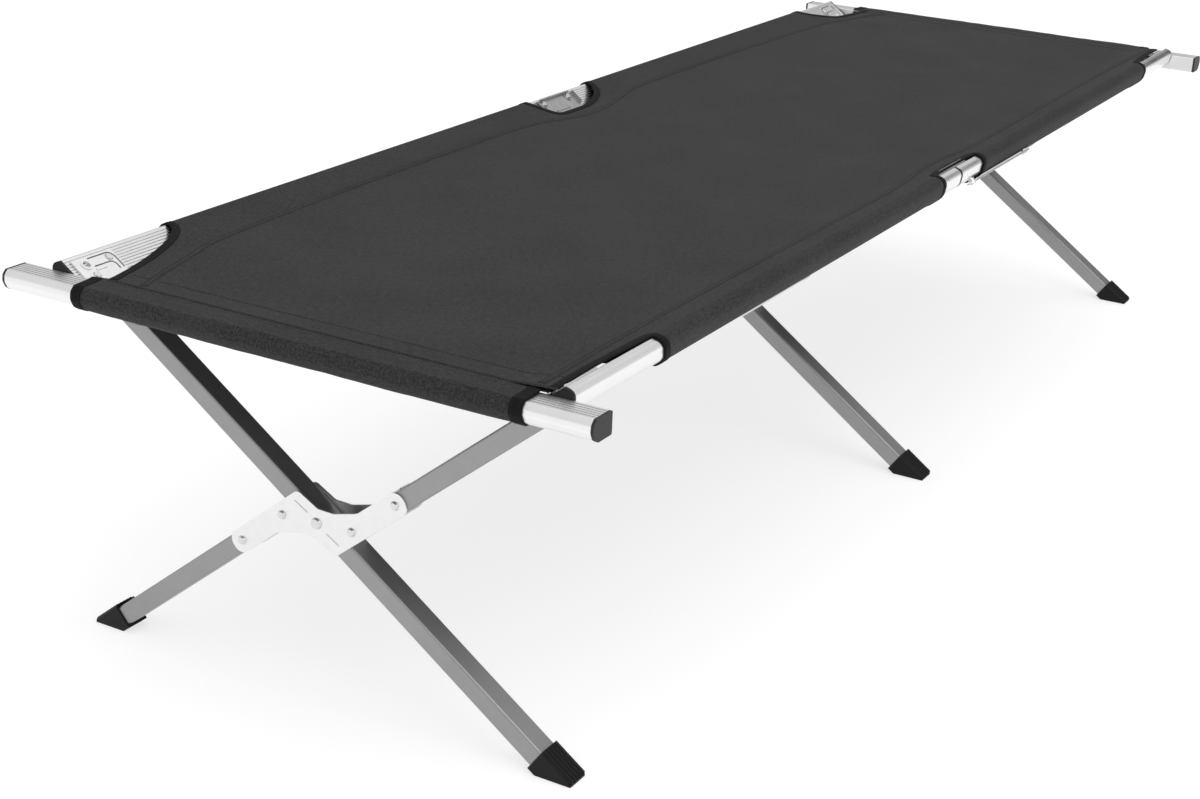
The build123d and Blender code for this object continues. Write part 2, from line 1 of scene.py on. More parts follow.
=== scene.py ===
# Folding cot: canvas, binding tape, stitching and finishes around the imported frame.
import math

import bmesh
import bpy
from mathutils import Matrix, Vector, noise


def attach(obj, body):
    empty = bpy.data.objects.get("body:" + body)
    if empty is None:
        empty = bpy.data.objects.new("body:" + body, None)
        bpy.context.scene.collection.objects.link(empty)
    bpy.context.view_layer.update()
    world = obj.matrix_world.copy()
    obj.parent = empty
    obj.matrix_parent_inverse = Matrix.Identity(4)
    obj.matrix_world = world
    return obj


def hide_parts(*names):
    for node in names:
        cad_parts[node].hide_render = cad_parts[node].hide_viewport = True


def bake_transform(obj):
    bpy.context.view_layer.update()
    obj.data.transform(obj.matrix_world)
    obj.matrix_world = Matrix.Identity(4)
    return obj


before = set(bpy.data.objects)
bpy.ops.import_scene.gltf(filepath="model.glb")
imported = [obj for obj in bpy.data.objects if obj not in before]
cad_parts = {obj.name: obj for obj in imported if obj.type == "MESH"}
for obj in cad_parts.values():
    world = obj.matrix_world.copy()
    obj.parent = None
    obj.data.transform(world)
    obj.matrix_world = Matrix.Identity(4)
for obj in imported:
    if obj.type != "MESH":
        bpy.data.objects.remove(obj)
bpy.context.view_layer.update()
for thing in list(bpy.context.selected_objects):
    thing.select_set(False)

MM = 0.001

# ---- sizes shared with the frame, in millimetres ---------------------------------
HALF_LENGTH, BAR_DEPTH, BAR_HEIGHT, BAR_TOP = 950.0, 27.0, 22.0, 400.0
RAIL_X, RAIL_FACE, RAIL_BULGE, RAIL_DEEP = 290.0, 37.0, 6.5, 22.0
LEG_T, PIVOT_Z, OFFSET = 21.0, 194.0, 25.0
SHEET, SLACK = 1.2, 0.6
BED_MID = 402.8  # middle of the bed's canvas
SEAM_X = 245.0  # where the bed's canvas turns up to a rail
BED_EDGE = 243.0  # the flat of the bed ends here
WIDEST = 10.0  # below a rail's flat face its round back is widest
DEEP_IN = 7.0  # the deepest line of the back, in from each edge of the face
TILT_LEFT = math.radians(35.0)
REACH = math.hypot(PIVOT_Z / math.tan(TILT_LEFT), PIVOT_Z)
TILT_RIGHT = TILT_LEFT + math.asin(OFFSET / REACH)
RAIL_Z = PIVOT_Z + RAIL_X * math.tan(TILT_LEFT) + LEG_T / 2 / math.cos(TILT_LEFT)
RIGHT_X = (math.cos(TILT_RIGHT) * (RAIL_Z - PIVOT_Z) + OFFSET - LEG_T / 2) / math.sin(TILT_RIGHT)

# ---- canvas sizes ------------------------------------------------------------------
CLOTH = 1.1  # canvas thickness
SAG = 4.0  # how far the middle of the bed hangs
HEM_Y = 924.0  # ends of the bed's canvas
UNDER_X = 229.0  # edge of the cloth that comes back under the bed
TAPE_W, RING_W = 8.5, 12.5  # edge tape, and tape round the ends of a bar sleeve
PITCH, DASH = 4.2, 3.0  # stitch to stitch, and length of a stitch
DASH_TURNS = (0, 72, 144, 216, 288)  # a stitch has five sides
# corner cut-outs: (distance in from the top of the rail, distance from the middle of the cot)
CORNERS = {
    (-1, -1): [(0, 766), (8, 768), (16, 775.5), (28, 795), (40, 826), (52, 867), (64, 921)],
    (-1, 1): [(0, 788), (10, 790), (22, 797), (36, 810), (48, 824), (57, 842), (62, 876), (65, 921)],
    (1, -1): [(0, 766), (1.2, 769), (2, 784), (3.2, 828), (5.2, 880), (7, 921)],
    (1, 1): [(0, 776), (1.6, 780), (4, 800), (7, 844), (10, 886), (13, 921)],
}
# how much nearer the middle the ring ends at the bottom of the rail, and where it meets the lower seam
SLANT = {(-1, -1): 0.0, (-1, 1): 4.0, (1, -1): 24.0, (1, 1): 8.0}
SEAM_END = {(-1, -1): 847.0, (-1, 1): 823.0, (1, -1): 858.0, (1, 1): 858.0}
# centre openings: middle line, depth over the top, half lengths near and far, depth underneath
EYES = {-1: (-8.0, 60.0, 58.0, 114.0, 14.0), 1: (7.0, 13.0, 72.0, 73.0, 30.0)}
MEET = 240.0  # beyond this, the two halves of the canvas meet on an opening's middle line
# how square each half of an opening is: 2 is an ellipse
EYE_POWER = {(-1, -1): 6.0, (-1, 1): 1.7, (1, -1): 3.5, (1, 1): 3.5}


# hang of the bed, its waves, the ripples at its ends, and how it is drawn down to the bars
BED_END, WAVE = 930.0, 0.35
RIPPLE, RIPPLE_FROM, RIPPLE_X = 0.55, 860.0, 236.0
DRAW, RISE_Z = 0.55, 403.6


def mm(x, y, z):
    return Vector((x * MM, y * MM, z * MM))


# ---- flat outlines -----------------------------------------------------------------
def grown(points, by):
    """A clockwise polygon with every side moved out."""
    out = []
    for k, q in enumerate(points):
        p, r = points[k - 1], points[(k + 1) % len(points)]
        n1, n2 = side_normal(p, q), side_normal(q, r)
        dot = 1 + n1[0] * n2[0] + n1[1] * n2[1]
        out.append((q[0] + by * (n1[0] + n2[0]) / dot, q[1] + by * (n1[1] + n2[1]) / dot))
    return out


def side_normal(p, q):
    d = math.hypot(q[0] - p[0], q[1] - p[1])
    return (-(q[1] - p[1]) / d, (q[0] - p[0]) / d)


def rounded_run(points, radii, turn=math.radians(14)):
    """An open run through the points, with its inner corners rounded."""
    out = [points[0]]
    for k in range(1, len(points) - 1):
        p, q, r = (Vector(v) for v in points[k - 1 : k + 2])
        a, b = (p - q).normalized(), (r - q).normalized()
        angle = math.acos(max(-1.0, min(1.0, a.dot(b))))
        reach = radii[k] / math.tan(angle / 2)
        start, end = q + a * reach, q + b * reach
        centre = q + (a + b).normalized() * (radii[k] / math.sin(angle / 2))
        steps = max(2, int((math.pi - angle) / turn + 1))
        first, sweep = start - centre, end - centre
        total = first.angle_signed(sweep)
        for step in range(steps + 1):
            spin = Matrix.Rotation(-total * step / steps, 2)
            out.append(tuple(centre + spin @ first))
    out.append(points[-1])
    return out


def divided(points, longest):
    out = [points[0]]
    for p, q in zip(points, points[1:]):
        d = math.hypot(q[0] - p[0], q[1] - p[1])
        if d < 1e-6:
            continue
        n = max(1, math.ceil(d / longest))
        out += [(p[0] + (q[0] - p[0]) * k / n, p[1] + (q[1] - p[1]) * k / n) for k in range(1, n + 1)]
    return out


class Course:
    """A line across the cot that the canvas follows, measured along itself."""

    def __init__(self, points):
        self.points = points
        self.at = [0.0]
        for p, q in zip(points, points[1:]):
            self.at.append(self.at[-1] + math.hypot(q[0] - p[0], q[1] - p[1]))

    def place(self, u):
        """Point and outward normal at u."""
        u = max(0.0, min(self.at[-1], u))
        lo, hi = 0, len(self.at) - 1
        while hi - lo > 1:
            k = (lo + hi) // 2
            lo, hi = (k, hi) if self.at[k] <= u else (lo, k)
        p, q = self.points[lo], self.points[hi]
        span = self.at[hi] - self.at[lo]
        t = (u - self.at[lo]) / span
        d = Vector((q[0] - p[0], q[1] - p[1])) / span
        before = self.tangent(lo) if lo > 0 else d
        after = self.tangent(hi) if hi < len(self.at) - 1 else d
        m = (before * (1 - t) + after * t).normalized()
        return p[0] + (q[0] - p[0]) * t, p[1] + (q[1] - p[1]) * t, m

    def tangent(self, k):
        p, q = self.points[max(0, k - 1)], self.points[min(len(self.points) - 1, k + 1)]
        return Vector((q[0] - p[0], q[1] - p[1])).normalized()

    def nearest(self, x, z):
        gaps = [math.hypot(px - x, pz - z) for px, pz in self.points]
        return self.at[gaps.index(min(gaps))]


def rail_frame(side):
    if side < 0:
        c, s = math.cos(TILT_LEFT), math.sin(TILT_LEFT)
        return (-RAIL_X, RAIL_Z), (c, -s), (s, c)
    c, s = math.cos(TILT_RIGHT), math.sin(TILT_RIGHT)
    return (RIGHT_X, RAIL_Z), (-c, -s), (-s, c)


def canvas_course(side):
    """From the middle of the bed to the rail, round it, and back under the bed. side is -1 or 1."""
    (ox, oz), down, out = rail_frame(side)
    dx, dz = side * SEAM_X - ox, BED_MID - oz
    seam = (dx * down[0] + dz * down[1], dx * out[0] + dz * out[1])
    corners = [
        (0.0, 0.0),
        seam,
        (RAIL_FACE + RAIL_BULGE, -WIDEST),
        (RAIL_FACE - DEEP_IN, -RAIL_DEEP),
        (DEEP_IN, -RAIL_DEEP),
        (-RAIL_BULGE, -WIDEST),
    ]
    by = SLACK + SHEET / 2
    big = grown(corners, by)
    order = [big[k] for k in (1, 0, 5, 4, 3, 2, 1)]
    world = [(ox + s * down[0] + n * out[0], oz + s * down[1] + n * out[1]) for s, n in order]
    # the run starts a fifth of the way up from the seam, and comes back just under the bed
    (x0, z0), (x1, z1), low = world[0], world[1], world[-2]
    world[0] = (x0 + (x1 - x0) * 0.2, z0 + (z1 - z0) * 0.2)
    under_z = BED_MID - CLOTH - 0.05
    t = (under_z - low[1]) / (world[-1][1] - low[1])
    under = (low[0] + (world[-1][0] - low[0]) * t, under_z)
    world[-1] = under
    world.append((side * UNDER_X, under_z))
    radii = [0, 2.0 + by, 8.0 + by, 14.0 + by, 14.0 + by, 8.0 + by, 2.5, 0]
    rail = rounded_run(world, radii)
    bed = ((0.0, 0.0), (150.0, 0.0), (222.0, 0.0), (234.0, 0.15), (BED_EDGE, 0.9))
    course = [(side * x, BED_MID + rise) for x, rise in bed]
    made = Course(divided(course + rail, 9.0))
    made.apex = made.nearest(*world[1])
    made.low = made.nearest(*world[4])
    made.under = made.nearest(*under)
    return made


COURSE = {-1: canvas_course(-1), 1: canvas_course(1)}


def curved(points, steps=8):
    """A smooth flat line through the points."""
    pts = [Vector(p) for p in points]
    pts = [pts[0] * 2 - pts[1]] + pts + [pts[-1] * 2 - pts[-2]]
    out = []
    for k in range(1, len(pts) - 2):
        p0, p1, p2, p3 = pts[k - 1 : k + 3]
        for i in range(steps):
            t = i / steps
            square = (2 * p0 - 5 * p1 + 4 * p2 - p3) * t * t
            cube = (3 * p1 - p0 - 3 * p2 + p3) * t**3
            out.append(tuple(0.5 * (2 * p1 + (p2 - p0) * t + square + cube)))
    out.append(tuple(pts[-2]))
    return out


def along(table, x):
    """Straight-line reading of a table of pairs."""
    if x <= table[0][0]:
        return table[0][1]
    for (x0, y0), (x1, y1) in zip(table, table[1:]):
        if x <= x1:
            return y0 + (y1 - y0) * (x - x0) / (x1 - x0)
    return table[-1][1]


CORNER_LINES = {key: curved(points, 6) for key, points in CORNERS.items()}


def cut_end(side, half, u):
    """Where the canvas ends along the cot, at u."""
    course, line = COURSE[side], CORNER_LINES[side, half]
    if u <= course.apex:
        s = course.apex - u
        return along(line, s) if s < line[-1][0] + 0.01 else HEM_Y
    start, slant, seam = line[0][1], SLANT[side, half], SEAM_END[side, half]
    if u <= course.low:
        return start - slant * ((u - course.apex) / (course.low - course.apex)) ** 1.5
    low = start - slant
    if u <= course.under:
        return low + (seam - low) * ((u - course.low) / (course.under - course.low)) ** 1.7
    t = (u - course.under) / (course.at[-1] - course.under)
    return seam + (HEM_Y - 6.0 - seam) * t


def eye_start(side, half, u):
    """Half length of the centre opening from its middle line, at u."""
    course = COURSE[side]
    _, tip, near, far, under = EYES[side]
    reach = near if half < 0 else far
    power = EYE_POWER[side, half]
    if u <= course.apex:
        s = (course.apex - u) / tip
        return reach * max(0.0, 1 - s**power) ** (1 / power) if s < 1 else 0.0
    if u <= course.low:
        return reach
    s = (u - course.low) / under
    return reach * math.sqrt(1 - s * s) if s < 1 else 0.0


def middle(side, u):
    """The line along which the near and far halves of the canvas meet."""
    left, right = EYES[-1][0], EYES[1][0]
    reach = max(-1.0, min(1.0, side * u / MEET))
    return left + (right - left) * (reach + 1) / 2


def lay(side, u, y, lift=0.0):
    """The point on the canvas at u across and y along, lifted off it."""
    x, z, m = COURSE[side].place(u)
    normal = Vector((-m.y * side, m.x * side))
    # the bed hangs and waves a little
    if abs(x) < BED_EDGE and z > BED_MID - 3.0:
        flat = max(0.0, 1 - (x / BED_EDGE) ** 2) * max(0.0, 1 - (y / BED_END) ** 2)
        z -= SAG * flat
        z += WAVE * flat * noise.noise(Vector((x * 0.011, y * 0.006, 3.0)))
    # it ripples near its ends
    if abs(y) > RIPPLE_FROM and abs(x) < RIPPLE_X:
        near = min(1.0, (abs(y) - RIPPLE_FROM) / 50.0)
        z -= 0.2 * near
        z += RIPPLE * near * (1 - near * 0.6) * noise.noise(Vector((x * 0.045 + y * 0.02, y * 0.03, 7.0)))
    # and its rise to the rail is drawn down to the bar
    if u < COURSE[side].apex and z > RISE_Z:
        z -= DRAW * (z - RISE_Z) * max(0.0, min(1.0, (abs(y) - 845.0) / 75.0)) ** 2
    return mm(x + normal.x * lift, y, z + normal.y * lift)


# ---- mesh helpers ------------------------------------------------------------------
def finished(name, verts, faces, uv):
    """A smooth mesh with a cloth map."""
    mesh = bpy.data.meshes.new(name)
    mesh.from_pydata([tuple(v) for v in verts], [], faces)
    mesh.validate()
    layer = mesh.uv_layers.new(name="cloth")
    for loop in mesh.loops:
        layer.data[loop.index].uv = uv[loop.vertex_index]
    for face in mesh.polygons:
        face.use_smooth = True
    thing = bpy.data.objects.new(name, mesh)
    bpy.context.scene.collection.objects.link(thing)
    return thing


def only(thing):
    """Select this object alone."""
    bpy.ops.object.select_all(action="DESELECT")
    thing.select_set(True)
    bpy.context.view_layer.objects.active = thing


def thicken(thing):
    """Give a sheet the thickness of the canvas, half to each side."""
    mod = thing.modifiers.new("thickness", "SOLIDIFY")
    mod.thickness = CLOTH * MM
    mod.offset = 0.0
    mod.use_even_offset = True
    only(thing)
    bpy.ops.object.modifier_apply(modifier=mod.name)
    thing.select_set(False)


def sharpened(thing):
    """Smooth shading, but sharp over 50 degrees."""
    only(thing)
    bpy.ops.object.shade_smooth_by_angle(angle=math.radians(50))
    thing.select_set(False)


# ---- canvas cover --------------------------------------------------------------------
NARROWEST = 0.45  # least width of a column
FIRST_ROWS, MIDDLE_ROWS, LAST_ROWS = 11, 26, 18


def columns(side):
    """Places across the cot, close together where the canvas bends or is cut."""
    course = COURSE[side]
    _, tip, _, _, under = EYES[side]
    bends = [math.cos(math.radians(a)) for a in (0, 6, 12, 19, 27, 36, 46, 56, 66, 75, 83)]
    spots = [0, 25, 50, 75, 100, 120, 140, 155, 170, 182, 192, 202, 210, 218]
    spots += [course.apex - tip * t for t in bends] + [course.apex]
    spots += [course.low + under * t for t in bends] + [course.under - 2, course.under]
    for half in (-1, 1):
        spots += [course.apex - s for s, _ in CORNER_LINES[side, half][::2]]
    if side > 0:
        spots += [course.apex - s for s in (22, 27, 33, 40, 47, 54, 61)]
    spots += [u for u in course.at if u > course.apex]
    needed = {course.apex, course.apex - tip, course.low + under, course.under}
    needed |= {course.apex - CORNER_LINES[side, half][-1][0] for half in (-1, 1)}
    keep = []
    for u in sorted(set(spots)):
        if keep and u - keep[-1] < NARROWEST:
            if u in needed:
                keep[-1] = u
            continue
        keep.append(u)
    return keep


def row_places(y0, y1):
    """Places along the cot from the opening or the middle to the end."""
    a, b = max(125.0, y0 + 15.0), min(725.0, y1 - 20.0)
    out = [y0 + (a - y0) * k / FIRST_ROWS for k in range(FIRST_ROWS)]
    out += [a + (b - a) * k / MIDDLE_ROWS for k in range(MIDDLE_ROWS)]
    out += [b + (y1 - b) * (1 - (1 - k / LAST_ROWS) ** 1.3) for k in range(LAST_ROWS + 1)]
    return out


def make_cover():
    """The bed and both rail sleeves in one sheet, with its flat size and flat area."""
    grid_u = [(-1, u) for u in reversed(columns(-1)[1:])] + [(1, u) for u in columns(1)]
    verts, uv, faces, index = [], [], [], {}

    def vert(j, half, i, side, u, y, meets):
        key = (j, 0, 0) if meets and i == 0 else (j, half, i)
        if key not in index:
            index[key] = len(verts)
            verts.append(lay(side, u, y))
            uv.append((side * u * MM, y * MM))
        return index[key]

    area = 0.0
    for half in (-1, 1):
        lines = []
        for j, (side, u) in enumerate(grid_u):
            eye, line = eye_start(side, half, u), middle(side, u)
            places = row_places(half * line + eye, cut_end(side, half, u))
            lines.append([vert(j, half, i, side, u, half * y, eye == 0.0) for i, y in enumerate(places)])
        for j in range(len(lines) - 1):
            a, b = lines[j], lines[j + 1]
            for i in range(len(a) - 1):
                quad = [a[i], b[i], b[i + 1], a[i + 1]]
                if half < 0:
                    quad.reverse()
                clean = [v for n, v in enumerate(quad) if v != quad[n - 1]]
                if len(clean) > 2:
                    faces.append(clean)
    for face in faces:
        flat = [uv[v] for v in face]
        area += abs(sum(p[0] * q[1] - q[0] * p[1] for p, q in zip(flat, flat[1:] + flat[:1]))) / 2
    cover = finished("canvas_cover", verts, faces, uv)
    thicken(cover)
    width = (COURSE[-1].at[-1] + COURSE[1].at[-1]) * MM
    return cover, (width, 2 * HEM_Y * MM), area


cover, cover_flat, cover_area = make_cover()


# ---- strips and stitches laid on the canvas -------------------------------------------
class Heap:
    """Many small shapes gathered into one mesh."""

    def __init__(self):
        self.verts, self.faces, self.uv = [], [], []

    def tube(self, rings, uv=None, closed=False):
        """A skin over equal rings, closed on itself or capped."""
        base, n = len(self.verts), len(rings[0])
        for k, ring in enumerate(rings):
            self.verts += ring
            self.uv += uv[k] if uv else [(0.0, 0.0)] * n
        count = len(rings)
        for k in range(count if closed else count - 1):
            a, b = base + k * n, base + ((k + 1) % count) * n
            for i in range(n):
                j = (i + 1) % n
                self.faces.append([a + i, a + j, b + j, b + i])
        if not closed:
            self.faces.append([base + i for i in reversed(range(n))])
            self.faces.append([base + (count - 1) * n + i for i in range(n)])

    def done(self, name):
        thing = finished(name, self.verts, self.faces, self.uv)
        work = bmesh.new()
        work.from_mesh(thing.data)
        bmesh.ops.recalc_face_normals(work, faces=work.faces)
        work.to_mesh(thing.data)
        work.free()
        return thing


def bed_u(side, x):
    """How far along the course a bed point at x lies."""
    course = COURSE[side]
    lo, hi = 0.0, course.apex
    for _ in range(40):
        mid = (lo + hi) / 2
        if abs(course.place(mid)[0]) < abs(x):
            lo = mid
        else:
            hi = mid
    return lo


def spread(path, pitch):
    """Points evenly spaced on a flat path."""
    out, carry = [], 0.0
    for p, q in zip(path, path[1:]):
        d = math.hypot(q[0] - p[0], q[1] - p[1])
        t = carry
        while t < d:
            out.append((p[0] + (q[0] - p[0]) * t / d, p[1] + (q[1] - p[1]) * t / d))
            t += pitch
        carry = t - d
    out.append(path[-1])
    return out


def flat_normals(path, closed=False):
    """The left-hand normal at each point of a flat path."""
    out = []
    n = len(path)
    for k in range(n):
        p = path[(k - 1) % n if closed else max(0, k - 1)]
        q = path[(k + 1) % n if closed else min(n - 1, k + 1)]
        d = Vector((q[0] - p[0], q[1] - p[1])).normalized()
        out.append((-d.y, d.x))
    return out


def strip(heap, side, path, profile, closed=False, flip=1):
    """A strip with the given profile of (across, lift) points, laid along a flat path."""
    rings, maps = [], []
    for (u, y), (nu, ny) in zip(path, flat_normals(path, closed)):
        ring, flat = [], []
        for across, lift in profile:
            a = across * flip
            ring.append(lay(side, max(0.0, u + nu * a), y + ny * a, lift))
            flat.append(((u + nu * a) * MM, (y + ny * a) * MM))
        rings.append(ring)
        maps.append(flat)
    heap.tube(rings, maps, closed)


def dash_shape(dip, rise, thin, thick):
    """Rings along one stitch: how far along, how high, and (aside, up) round the thread."""
    shape = []
    for t, high, r in ((0.0, -dip, thin), (0.25, rise, thick), (0.75, rise, thick), (1.0, -dip, thin)):
        turns = [math.radians(a) for a in DASH_TURNS]
        shape.append((t, high, [(math.cos(a) * r, math.sin(a) * r * 0.8) for a in turns]))
    return shape


def stitches(heap, side, path, lift, shift=0.0, length=DASH, thick=1.0, flip=1, closed=False):
    """Thread dashes along a flat path."""
    ends = spread(path + ([path[0]] if closed else []), PITCH)
    for (u, y), (nu, ny) in zip(ends[:-1], flat_normals(ends)):
        rings = []
        for t, high, ring in BED_DASH:
            spots = []
            for aside, up in ring:
                off = aside * thick + shift * flip
                uu = u + ny * t * length + nu * off
                yy = y - nu * t * length + ny * off
                spots.append(lay(side, max(0.0, uu), yy, lift + high + up * thick))
            rings.append(spots)
        heap.tube(rings)


BED_DASH = dash_shape(0.25, 0.02, 0.22, 0.4)


def corner_edge(side, half):
    """The cut-out edge at a corner, from under the bed, round the rail, to the hem."""
    course = COURSE[side]
    deep = CORNER_LINES[side, half][-1][0]
    spots = [u for u in columns(side) if course.apex - deep - 0.01 <= u <= course.under + 0.01]
    path = [(u, half * cut_end(side, half, u)) for u in reversed(spots)]
    return curved(thinned(path, 1.2), 2)


def eye_edge(side):
    """The edge of a centre opening, all the way round."""
    course = COURSE[side]
    _, tip, _, _, under = EYES[side]
    spots = [u for u in columns(side) if course.apex - tip - 0.01 <= u <= course.low + under + 0.01]
    far = [(u, middle(side, u) + eye_start(side, 1, u)) for u in spots]
    near = [(u, middle(side, u) - eye_start(side, -1, u)) for u in reversed(spots[1:-1])]
    return thinned(far + near, 1.5)


def thinned(path, least):
    """The path without points closer than the least distance."""
    out = [path[0]]
    for p in path[1:]:
        if math.hypot(p[0] - out[-1][0], p[1] - out[-1][1]) >= least:
            out.append(p)
    return out


def tape_profile(wide):
    """Tape folded over an edge: (in from the edge, above the middle of the canvas)."""
    over = [(wide, 0.5), (wide, 0.98), (wide - 0.6, 1.1), (2.5, 1.3), (0.6, 1.2), (-0.3, 0.8), (-0.55, 0.0)]
    return over + [(-0.3, -0.8), (0.6, -1.15), (wide - 0.6, -1.08), (wide, -0.95), (wide, -0.5)]


TAPE_PROFILE, RING_PROFILE = tape_profile(TAPE_W), tape_profile(RING_W)
# a felled seam: two valleys for the stitches
SEAM_PROFILE = [(-4.6, 0.45), (-4.1, 0.86), (-3.1, 0.92), (-2.6, 0.55), (-2.1, 0.92)]
SEAM_PROFILE += [(2.1, 0.92), (2.6, 0.55), (3.1, 0.92), (4.1, 0.86), (4.6, 0.45)]
# side seams, (distance from the middle, distance from the middle of the cot)
LEFT_SEAM = [(188, 917), (203, 866), (218, 806), (229, 759)]
LEFT_SEAM += [(236, 620), (240.5, 460), (242, 300), (240, 150)]
RIGHT_SEAM = [(261, 917), (262, 860), (260, 790), (259.5, 680)]
RIGHT_SEAM += [(260, 540), (261, 400), (263, 240), (264, 150)]
SIDE_SEAMS = {
    -1: [(x, -y) for x, y in LEFT_SEAM] + [(229, -92), (217, -50), (213, -14), (217, 30), (228, 84)],
    1: [(x, -y) for x, y in RIGHT_SEAM] + [(261, -90), (254.5, -45), (253, 2), (254.5, 50), (261, 92)],
}
SIDE_SEAMS[-1] += [(x, y) for x, y in reversed(LEFT_SEAM)]
SIDE_SEAMS[1] += [(x, y) for x, y in reversed(RIGHT_SEAM)]

# heights of the thread over the middle of the canvas, and its distance in from a tape's inner edge
ON_TAPE, IN_SEAM, ON_HEM = 1.2, 0.78, 0.66
TAPE_SEAM = 2.2

tapes, threads, seams = Heap(), Heap(), Heap()
for side in (-1, 1):
    for half in (-1, 1):
        edge = corner_edge(side, half)
        strip(tapes, side, edge, TAPE_PROFILE, flip=half)
        stitches(threads, side, edge, ON_TAPE, shift=TAPE_W - TAPE_SEAM, flip=half)
    line = curved([(bed_u(side, x), y) for x, y in SIDE_SEAMS[side]])
    strip(seams, side, line, SEAM_PROFILE)
    for shift in (-2.6, 2.6):
        stitches(threads, side, line, IN_SEAM, shift=shift, length=3.7, thick=1.6)
    edge = eye_edge(side)
    strip(tapes, side, edge, TAPE_PROFILE, closed=True, flip=-1)
    stitches(threads, side, edge, ON_TAPE, shift=TAPE_W - TAPE_SEAM, flip=-1, closed=True)
    for half in (-1, 1):
        reach = COURSE[side].apex - CORNER_LINES[side, half][-1][0] - TAPE_W
        for back in (2.6, 27.0):
            hem = [(u, half * (HEM_Y - back)) for u in (0.5, reach * 0.3, reach * 0.6, reach - 1.0)]
            stitches(threads, side, hem, ON_HEM, thick=1.3)
binding = tapes.done("canvas_binding")
sharpened(binding)
seam_ridges = seams.done("side_seams")
stitching = threads.done("canvas_stitching")


# ---- sleeves round the end bars --------------------------------------------------------
# a bar's outline: out from its inner face, up from its top
BAR_POINTS = [(0.0, 0.0), (BAR_DEPTH, 0.0), (31.4, -4.5), (32.0, -11.5), (28.4, -18.5)]
BAR_POINTS += [(23.0, -BAR_HEIGHT), (0.0, -BAR_HEIGHT)]
BAR_RADII = [1.2, 1.5, 5.0, 6.0, 4.0, 3.0, 1.6]
FLAP = 29.0  # hem flap under the bed
TURN_IN = 6.0  # this far from the bar the flap's left end steps in
SLEEVE_ENDS = {-1: (-245.0, 265.0), 1: (-247.0, 253.0)}
FLAP_ENDS = {-1: (-219.0, 264.0), 1: (-219.0, 250.0)}
FLAP_WIDER, FLAP_OUT = 21.0, {-1: 272.0, 1: 250.0}  # beside the bar the flap reaches further right
SLEEVE_PARTS = 72
SLACKNESS = 40.0  # within this distance of its ends a sleeve lies tight on the bar


def bar_course():
    """From the edge of the flap, over the bar and round it."""
    by = SLACK / 2 + SHEET / 2
    big = grown(BAR_POINTS, by)
    run = [(-FLAP, 1.4), (0.2, 1.4), (2.6, 2.7), (9.0, by + 0.7), *big[1:], (big[0][0], -1.6)]
    radii = [0, 0.8, 1.2, 8.0, *[r + by for r in BAR_RADII[1:]], 0]
    return Course(divided(rounded_run(run, radii, math.radians(12)), 4.0))


BAR_RUN = bar_course()
RING_DASH = dash_shape(0.2, 0.03, 0.16, 0.27)
RING_SEAM = 2.4  # stitches, in from each edge of the ring of tape


def bar_lay(half, u, x, lift=0.0):
    """The point on an end-bar sleeve at u round it and x along it, lifted off it."""
    out, up, m = BAR_RUN.place(u)
    normal = Vector((-m.y, m.x))
    edge = min(x - SLEEVE_ENDS[half][0], SLEEVE_ENDS[half][1] - x)
    soft = max(0.0, min(1.0, edge / SLACKNESS)) * max(0.0, min(1.0, (u - FLAP - 3.0) / 10.0))
    puff = soft * (0.45 + 0.75 * noise.noise(Vector((x * 0.012, u * 0.035, 5.0 * half))))
    puff += soft * 0.35 * noise.noise(Vector((x * 0.05, u * 0.07 + x * 0.02, 9.0 * half)))
    puff = max(0.0, puff) + lift
    out, up = out + normal.x * puff, up + normal.y * puff
    return mm(x, half * (HALF_LENGTH - BAR_DEPTH + out), BAR_TOP + up)


def make_bar_sleeve(half, label):
    """The sleeve, the tape round its two ends, and the stitches in the tape."""
    verts, uv, faces = [], [], []
    spots = BAR_RUN.at
    for u in spots:
        x0 = SLEEVE_ENDS[half][0] if u > FLAP - TURN_IN else FLAP_ENDS[half][0]
        x1 = FLAP_OUT[half] if u > FLAP_WIDER else FLAP_ENDS[half][1]
        if u > FLAP:
            x1 = SLEEVE_ENDS[half][1]
        for i in range(SLEEVE_PARTS + 1):
            x = x0 + (x1 - x0) * i / SLEEVE_PARTS
            verts.append(bar_lay(half, u, x))
            uv.append((x * MM, u * MM))
    row = SLEEVE_PARTS + 1
    for k in range(len(spots) - 1):
        for a in range(k * row, k * row + SLEEVE_PARTS):
            quad = [a, a + 1, a + row + 1, a + row]
            faces.append(quad if half > 0 else quad[::-1])
    sleeve = finished(f"bar_sleeve_{label}", verts, faces, uv)
    thicken(sleeve)
    rings, thread = Heap(), Heap()
    start = FLAP + 1.0
    for x, way in zip(SLEEVE_ENDS[half], (1, -1)):
        path = [u for u in spots if u > start]
        loops, maps = [], []
        for u in path:
            loops.append([bar_lay(half, u, x + way * a, h) for a, h in RING_PROFILE])
            maps.append([((x + way * a) * MM, u * MM) for a, h in RING_PROFILE])
        rings.tube(loops, maps)
        u = start + 2.0
        while u < spots[-1] - 4.0:
            for a in (RING_SEAM, RING_W - RING_SEAM):
                dash = []
                for t, high, ring in RING_DASH:
                    at, middle_x, lift = u + DASH * t, x + way * a, ON_TAPE + high
                    dash.append([bar_lay(half, at, middle_x + aside, lift + up) for aside, up in ring])
                thread.tube(dash)
            u += PITCH
    tape = rings.done(f"bar_binding_{label}")
    sharpened(tape)
    return sleeve, tape, thread.done(f"bar_stitching_{label}")


